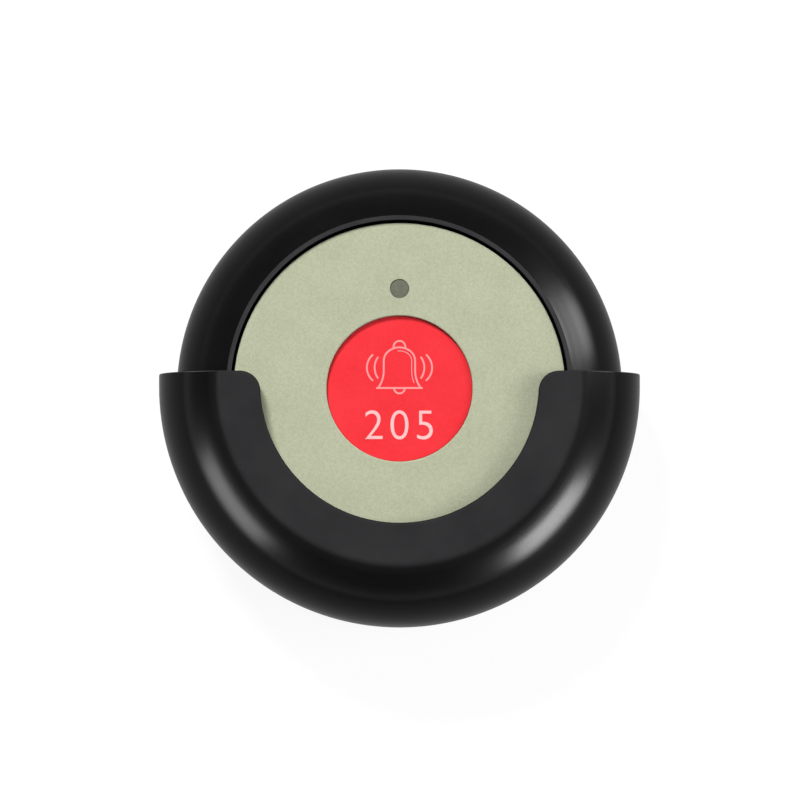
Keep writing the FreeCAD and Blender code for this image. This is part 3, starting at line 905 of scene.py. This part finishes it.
def make_upper_shell():
    shell = soften(upper_shell_body(), ring_bevel)
    top = deck_under_z + into_deck
    combine(shell, guide_tube(), "UNION")
    for x, y in case_screw_places():
        combine(shell, post("boss", case_boss_radius, equator_z, case_boss_top_z, x, y), "UNION")
        bore(shell, equator_z - overrun, case_bore_top_z, x, y)
    for side in (-1, 1):
        x = side * board_post_x
        boss = post("board post", board_post_radius, board_top_z, top, x, board_post_y)
        combine(shell, boss, "UNION")
        bore(shell, board_top_z - overrun, board_bore_top_z, x, board_post_y)
        x0 = side * rib_x - rib_thickness / 2
        y0 = battery_y - rib_back - rib_length / 2
        rib = bar("rib", x0, x0 + rib_thickness, y0, y0 + rib_length, rib_low_z, top)
        combine(shell, rib, "UNION")
    low = deck_under_z - overrun
    combine(shell, post("light hole", lens_hole_radius, low, deck_top_z + overrun, 0, lens_y))
    return polish(weld(shell))


hand_over(make_upper_shell(), "puck", "case_black", case_black, "top_shell")

# %% [markdown]
# The face plate
#
# The plate is a stamped and painted disc. Its punched edges are slightly rolled, and the
# key's hole is rounded more, so that a finger feels no edge: that rounding draws the thin
# pale line along the lower side of the key.

# %% Face plate
plate_roll = 0.1
finger_rounding = 0.2
plate_hole_radius = 9.72
plate_lens_hole_radius = 1.29


def make_plate():
    pen = Pen("face_disc", plate_hole_radius, deck_top_z, puck_y)
    pen.line(plate_radius, deck_top_z).line(plate_radius, plate_top_z)
    pen.line(plate_hole_radius + finger_rounding, plate_top_z)
    pen.arc(plate_hole_radius + finger_rounding, plate_top_z - finger_rounding, 90)
    pen.line(plate_hole_radius, deck_top_z)
    plate = soften(pen.turned(), plate_roll)
    low = deck_top_z - overrun
    combine(plate, post("punch", plate_lens_hole_radius, low, plate_top_z + overrun, 0, lens_y))
    return polish(plate)


hand_over(make_plate(), "puck", "plate_champagne", champagne, "face_plate")

# %% [markdown]
# The light window
#
# A small grey rod fills the hole above the lamp. Its top is a shallow dome, so it is
# drawn as an outline with a flat arc.

# %% Light window
lens_radius = (lens_high.x - lens_low.x) / 2
lens_rise = 0.015
lens_bevel = 0.04


def make_lens():
    dome_radius = (lens_radius ** 2 + lens_rise ** 2) / (2 * lens_rise)
    pen = Pen("light_window", 0, lens_low.z, lens_y)
    pen.line(lens_radius, lens_low.z).line(lens_radius, lens_high.z - lens_rise)
    pen.arc(0, lens_high.z - dome_radius, math.degrees(math.asin(lens_radius / dome_radius)))
    return polish(soften(pen.turned(steps=64), lens_bevel))


hand_over(make_lens(), "puck", "window_grey", smoke_grey, "led_window")

# %% [markdown]
# The red key
#
# The key is a hollow cap with a flange below the deck that stops it from falling out, and
# a nub that rests on the switch. Its upper edge is rounded, because fingers meet it.

# %% Red key
key_radius = 9.7
key_rounding = 0.1
key_skirt = 1.2
key_top_z = key_high.z
key_web = 1.4
key_web_z = key_top_z - key_web
key_flange_radius = key_high.x
key_flange = 0.8
key_flange_top_z = key_low.z + key_flange
nub_radius = 1.5
nub_length = 1.2
nub_low_z = key_web_z - nub_length
key_bevel = 0.08


def make_key():
    inner = key_radius - key_skirt
    pen = Pen("call_cap", 0, nub_low_z, puck_y)
    pen.line(nub_radius, nub_low_z).line(nub_radius, key_web_z).line(inner, key_web_z)
    pen.line(inner, key_low.z).line(key_flange_radius, key_low.z)
    pen.line(key_flange_radius, key_flange_top_z).line(key_radius, key_flange_top_z)
    pen.line(key_radius, key_top_z - key_rounding)
    pen.arc(key_radius - key_rounding, key_top_z - key_rounding, 90)
    pen.line(0, key_top_z)
    return polish(soften(pen.turned(), key_bevel))


hand_over(make_key(), "key", "key_red", key_red, "call_key")

# %% [markdown]
# Marks on the key
#
# A bell with sound waves is printed on the key, with a plain table number below it. Print
# has hardly any thickness, but it has clean edges, so each stroke is a thin raised band
# that a track draws, and the number is set with the built-in font and made a mesh.

# %% Strokes of the bell
stroke = 0.24
fine_stroke = 0.12
print_thickness = 0.03
print_low_z = key_top_z - print_thickness / 2
bell_foot_x = 2.86
bell_foot_y = 0.1
bell_flare = (3.8, 37)
bell_side = 1.35
bell_shoulder = (1.62, -50)
bell_crown = (2.35, -80)
handle_radius = 0.78
handle_foot_y = 5.35
handle_side = 0.25
clapper_radius = 0.72
wave_y = 2.82
waves = ((0.92, 2.40, 74), (2.08, 2.27, 101))
gleam_start = (-0.25, 5.05, 7.6)
gleam_crown = (1.89, -47.6)
gleam_shoulder = (1.16, -50)
gleam_flare = (4.26, 22)


def stroke_at(name, x, y, heading, width=stroke):
    return Track(name, x, puck_y + y, heading, print_low_z, width=width)


def bell_outline():
    """Up the left flare, over the crown and down the right flare."""
    track = stroke_at("bell_mark", -bell_foot_x, bell_foot_y, 90 - bell_flare[1])
    track.bend(*bell_flare).line(bell_side).bend(*bell_shoulder).bend(*bell_crown)
    track.bend(*bell_shoulder).line(bell_side).bend(*bell_flare)
    return track.raised(print_thickness)


def bell_extras():
    """The foot line, the handle and the clapper, which all touch the outline."""
    foot_x = bell_foot_x + stroke
    yield stroke_at("foot", -foot_x, bell_foot_y, 0).line(2 * foot_x).raised(print_thickness)
    handle = stroke_at("handle", -handle_radius, handle_foot_y, 90).line(handle_side)
    yield handle.bend(handle_radius, -180).line(handle_side).raised(print_thickness)
    clapper = stroke_at("clapper", -clapper_radius, bell_foot_y, -90)
    yield clapper.bend(clapper_radius, 180).raised(print_thickness)


def sound_waves():
    """Two bows on each side, and the thin line of light inside the bell."""
    for centre_x, radius, span in waves:
        for middle in (0, 180):
            start = middle - span / 2
            side = 1 if middle == 0 else -1
            x, y = swung(radius, 0, 0, 0, start)
            wave = stroke_at("wave", side * centre_x + x, wave_y + y, start + 90)
            yield wave.bend(radius, span).raised(print_thickness)
    gleam = stroke_at("gleam", *gleam_start, width=fine_stroke).bend(*gleam_crown)
    yield gleam.bend(*gleam_shoulder).line(bell_side).bend(*gleam_flare).raised(print_thickness)


def make_bell():
    bell = bell_outline()
    for extra in bell_extras():
        combine(bell, extra, "UNION")
    bell = joined("bell_mark", [bell, *sound_waves()])
    report(bell)
    return bell


hand_over(make_bell(), "key", "key_red", bell_ink)

# %% Table number
number_text = "205"
number_size = 5.7
number_y = -5.05
number_thinning = 0.055
number_spacing = 1.2


def make_number():
    pick_nothing()
    bpy.ops.object.text_add(location=(0, 0, 0))
    number = bpy.context.object
    number.data.body = number_text
    number.data.size = number_size * MM
    number.data.extrude = print_thickness / 2 * MM
    number.data.offset = -number_thinning * MM
    number.data.space_character = number_spacing
    number.data.align_x = "CENTER"
    number.data.align_y = "CENTER"
    bpy.ops.object.convert(target="MESH")
    middle_z = print_low_z + print_thickness / 2
    bpy.ops.transform.translate(value=(0, (puck_y + number_y) * MM, middle_z * MM))
    number = weld(settled("table_number"))
    report(number)
    return number


hand_over(make_number(), "key", "key_red", number_ink)

# %% [markdown]
# The puck's lower shell
#
# The lower shell has the battery bay, a seat for the door and three deep pockets for the
# case screws. Its bow shows round the back below the parting line, and the rest when the
# puck is out of the cradle and turned over.

# %% Lower shell sizes
base_rounding = 0.7
case_floor_z = puck_bottom_z + case_wall
bay_half_x = 15.6
bay_half_y = 5.5
bay_wall = 1.0
bay_top_z = base_high.z
door_border = 1.0
door_thickness = door_high.z - door_low.z
door_gap = 0.15
door_corner = 2.0
door_tab_radius = 3.0
door_tab_reach = 1.4
door_tab_y = battery_y + bay_half_y + door_border + door_tab_reach
door_seat_slack = 0.05
door_boss_radius = 2.1
door_boss_height = 4.2
door_bore_depth = 4.2
head_pocket_radius = 1.95
head_pocket_depth = 1.5
seal_inner_radius = 28.80
seal_outer_radius = 29.60
seal_depth = 0.65
seal_floor_z = equator_z - seal_depth
base_bevel = 0.12


# %% The door's outline
def door_block(name, grow, low, high):
    """A plate with round corners and a round tab for its screw, grown on all sides."""
    half_x = bay_half_x + door_border + grow
    half_y = bay_half_y + door_border + grow
    corner = door_corner + grow
    tab = door_tab_radius + grow
    step_up = door_tab_y - battery_y - half_y
    notch = math.sqrt(tab ** 2 - step_up ** 2)
    dip = math.degrees(math.asin(step_up / tab))
    track = Track(name, half_x - corner, battery_y - half_y, 0, low, rise=high - low)
    track.bend(corner, 90).line(2 * (half_y - corner)).bend(corner, 90).line(half_x - corner - notch)
    track.face(90 - dip).bend(tab, 180 + 2 * dip)
    track.face(180).line(half_x - corner - notch).bend(corner, 90)
    track.line(2 * (half_y - corner)).bend(corner, 90).line(2 * (half_x - corner))
    return track.block()


# %% Lower shell
def lower_shell_body():
    """The turned part: flat foot, bow, groove for the seal and the wall's inside."""
    toe_r, toe_z, toe_angle = bow_corner(lower_bow_r, lower_bow_radius, puck_bottom_z, base_rounding)
    inner_r = bow_reach(lower_bow_r, inside_lower, case_floor_z)
    pen = Pen("lower_shell", 0, puck_bottom_z, puck_y)
    pen.line(toe_r, puck_bottom_z)
    pen.arc(toe_r, toe_z, 90 + toe_angle)
    pen.arc(lower_bow_r, equator_z, -toe_angle)
    pen.line(seal_outer_radius, equator_z).line(seal_outer_radius, seal_floor_z)
    pen.line(seal_inner_radius, seal_floor_z).line(seal_inner_radius, equator_z)
    pen.line(lower_bow_r + inside_lower, equator_z)
    pen.arc(lower_bow_r, equator_z, bow_angle(lower_bow_r, inner_r, case_floor_z))
    pen.line(0, case_floor_z)
    return pen.turned()


def make_lower_shell():
    shell = lower_shell_body()
    low = puck_bottom_z - overrun
    foot = case_floor_z - into_deck
    outer_x = bay_half_x + bay_wall
    outer_y = bay_half_y + bay_wall
    bay = bar("bay", -outer_x, outer_x, battery_y - outer_y, battery_y + outer_y, foot, bay_top_z)
    combine(shell, bay, "UNION")
    boss_top = case_floor_z + door_boss_height
    combine(shell, post("door boss", door_boss_radius, foot, boss_top, 0, door_tab_y), "UNION")
    for x, y in case_screw_places():
        combine(shell, post("boss", case_boss_radius, foot, equator_z, x, y), "UNION")
    inside = bar("bay inside", -bay_half_x, bay_half_x, battery_y - bay_half_y,
                 battery_y + bay_half_y, low, bay_top_z + overrun)
    combine(shell, inside)
    seat_top = puck_bottom_z + door_thickness + door_seat_slack
    combine(shell, door_block("door seat", door_gap, low, seat_top))
    bore(shell, low, puck_bottom_z + door_bore_depth, 0, door_tab_y)
    pocket_top = puck_bottom_z + head_pocket_depth
    for x, y in case_screw_places():
        bore(shell, low, equator_z + overrun, x, y)
        combine(shell, post("pocket", head_pocket_radius, low, pocket_top, x, y))
    return polish(soften(shell, base_bevel))


hand_over(make_lower_shell(), "puck", "case_black", case_black, "bottom_shell")

# %% [markdown]
# The battery door
#
# The door is a flush plate with a round tab. Its one screw sits in a cone in the tab.

# %% Battery door
screw_head_radius = 1.8
screw_slack = 0.05
screw_shank_radius = 1.0
door_bevel = 0.12


def door_cone():
    """The seat of the door's sunk screw, as a cutting tool."""
    low = door_low.z + screw_slack
    wide = screw_head_radius + screw_slack
    narrow = screw_shank_radius + screw_slack
    start = door_low.z - overrun
    end = door_high.z + overrun
    pen = Pen("door cone", 0, start, door_tab_y)
    pen.line(wide, start).line(wide, low).line(narrow, door_high.z)
    pen.line(narrow, end).line(0, end)
    return pen.turned(steps=48)


def make_door():
    door = soften(door_block("battery_hatch", 0, door_low.z, door_high.z), door_bevel)
    return polish(combine(door, door_cone()))


hand_over(make_door(), "puck", "case_black", case_black, "battery_door")

# %% [markdown]
# Working pieces that stay
#
# Screws, the seal, the board and everything on it, and the battery keep their working
# shapes, which are plain blocks and bars on the real object too. They only get finishes.

# %% Finishes for the working pieces
kept_finishes = {
    rubber: ("case_seal",),
    bright_steel: ("case_screws", "door_screw", "board_screws"),
    board_green: ("circuit_board",),
    tinned: ("switch_cover", "switch_pins", "led_leads", "chip_legs", "resonator_can",
             "flat_contact", "spring_contact"),
    part_black: ("switch_base", "switch_plunger", "encoder_chip", "transistor", "chip_resistors"),
    copper: ("loop_antenna",),
    red_lens: ("status_led",),
    ceramic: ("chip_capacitors",),
    battery_silver: ("battery_can", "battery_cap"),
    jacket: ("battery_sleeve",),
}
for material, nodes in kept_finishes.items():
    for node in nodes:
        bpy.data.objects[node].material_slots[0].material = material
print("working pieces with a finish", sum(len(nodes) for nodes in kept_finishes.values()))

# %% [markdown]
# The floor
#
# The ground is plain white. The floor is a matt sheet that the lamps light. To rays that
# look at it or mirror it, it adds light of its own, so that it is white and still shows
# the object's shadow.

# %% Floor
floor_half = 0.8
floor_glow = 0.93
floor_grey = 0.11


def make_floor():
    pick_nothing()
    bpy.ops.mesh.primitive_plane_add(size=2 * floor_half)
    floor = bpy.context.object
    floor.name = "floor"
    material = bpy.data.materials.new("white table")
    material.use_nodes = True
    tree = material.node_tree
    tree.nodes.clear()
    matt = add_node(tree, "ShaderNodeBsdfDiffuse")
    matt.inputs["Color"].default_value = (floor_grey, floor_grey, floor_grey, 1)
    glow = add_node(tree, "ShaderNodeEmission")
    path = add_node(tree, "ShaderNodeLightPath")
    level = add_node(tree, "ShaderNodeMath", operation="MULTIPLY")
    level.inputs[1].default_value = floor_glow
    both = add_node(tree, "ShaderNodeAddShader")
    out = add_node(tree, "ShaderNodeOutputMaterial")
    link = tree.links.new
    seen = path.outputs["Is Camera Ray"]
    for kind in ("Is Glossy Ray", "Is Transmission Ray"):
        either = add_node(tree, "ShaderNodeMath", operation="MAXIMUM")
        link(seen, either.inputs[0])
        link(path.outputs[kind], either.inputs[1])
        seen = either.outputs[0]
    link(seen, level.inputs[0])
    link(level.outputs[0], glow.inputs["Strength"])
    link(matt.outputs[0], both.inputs[0])
    link(glow.outputs[0], both.inputs[1])
    link(both.outputs[0], out.inputs["Surface"])
    floor.data.materials.append(material)


make_floor()

# %% [markdown]
# Light
#
# A round black object shows a spot of light for every lamp. So two of the lamps light it
# and leave no glint, and six strips are mirrored in the bows and light nothing. The world
# is white round the horizon and dim overhead, so that level black faces stay dark.

# %% World
white_up_to = 0.03
dim_from = 0.08
overhead = 0.06
world = bpy.data.worlds.new("studio")
bpy.context.scene.world = world
world.use_nodes = True
sky = world.node_tree
where = add_node(sky, "ShaderNodeTexCoord")
split = add_node(sky, "ShaderNodeSeparateXYZ")
fade = add_node(sky, "ShaderNodeValToRGB")
fill_ramp(fade, ((white_up_to, 1), (dim_from, overhead)))
sky.links.new(where.outputs["Generated"], split.inputs["Vector"])
sky.links.new(split.outputs["Z"], fade.inputs["Fac"])
sky.links.new(fade.outputs["Color"], sky.nodes["Background"].inputs["Color"])


# %% Softboxes
lamp_aim_z = 0.01


def softbox(name, azimuth, elevation, distance, width, height, radiance):
    """A flat lamp, given by its direction from the object and by how bright it looks."""
    across = math.radians(azimuth)
    up = math.radians(elevation)
    reach = distance * math.cos(up)
    place = (reach * math.cos(across), reach * math.sin(across),
             lamp_aim_z + distance * math.sin(up))
    pick_nothing()
    bpy.ops.object.light_add(type="AREA", location=place)
    lamp = bpy.context.object
    lamp.name = name
    lamp.data.shape = "RECTANGLE"
    lamp.data.size = width
    lamp.data.size_y = height
    lamp.data.energy = radiance * math.pi * width * height
    lamp.rotation_euler = (math.radians(90 - elevation), 0, across + math.pi / 2)
    lamp.visible_camera = False
    return lamp


softbox("upper right softbox", 24, 79.5, 1.4, 0.6, 0.6, 1.85)

# %% Lamps that leave no bright spot on the bows
fillers = (
    softbox("key softbox", 114, 42, 1.2, 0.3, 0.3, 55.0),
    softbox("right panel", 0, 40, 1.2, 0.6, 0.6, 5.5),
)
for lamp in fillers:
    lamp.visible_glossy = False

# %% Strips that only draw the bright lines on the bows
strips = (
    softbox("right kicker", 22, 37, 1.2, 0.36, 0.3, 5.3),
    softbox("right strip", 22, 16, 1.2, 0.36, 0.5, 6.5),
    softbox("right softbox", -40, 21.5, 1.2, 0.5, 0.16, 18.0),
    softbox("right skirt", -40, 8.5, 1.2, 0.6, 0.34, 12.5),
    softbox("left softbox", 213, 19, 1.2, 0.6, 0.24, 5.8),
    softbox("left skirt", 213, 6.5, 1.2, 0.6, 0.26, 5.2),
)
for strip in strips:
    strip.visible_diffuse = False

# %% [markdown]
# Camera
#
# The photograph looks almost straight down through a long lens, from two degrees to the
# closed side of the cradle. The lens follows from the size of the puck in the picture.

# %% Camera
camera_elevation = 87.7
camera_distance = 0.8
picture_pixels = 800
pixels_per_mm = 7.42
sensor_mm = 36
aim_mm = (0.07, -1.75, 9.3)

bpy.ops.object.camera_add()
camera = bpy.context.object
camera.data.sensor_width = sensor_mm
camera.data.lens = sensor_mm * camera_distance / (picture_pixels / pixels_per_mm * MM)
lean = math.radians(90 - camera_elevation)
camera.location = (aim_mm[0] * MM, aim_mm[1] * MM - camera_distance * math.sin(lean),
                   aim_mm[2] * MM + camera_distance * math.cos(lean))
camera.rotation_euler = (lean, 0, 0)
bpy.context.scene.camera = camera
bpy.context.scene.view_settings.view_transform = "Standard"
print("lens", round(camera.data.lens, 1), "mm")
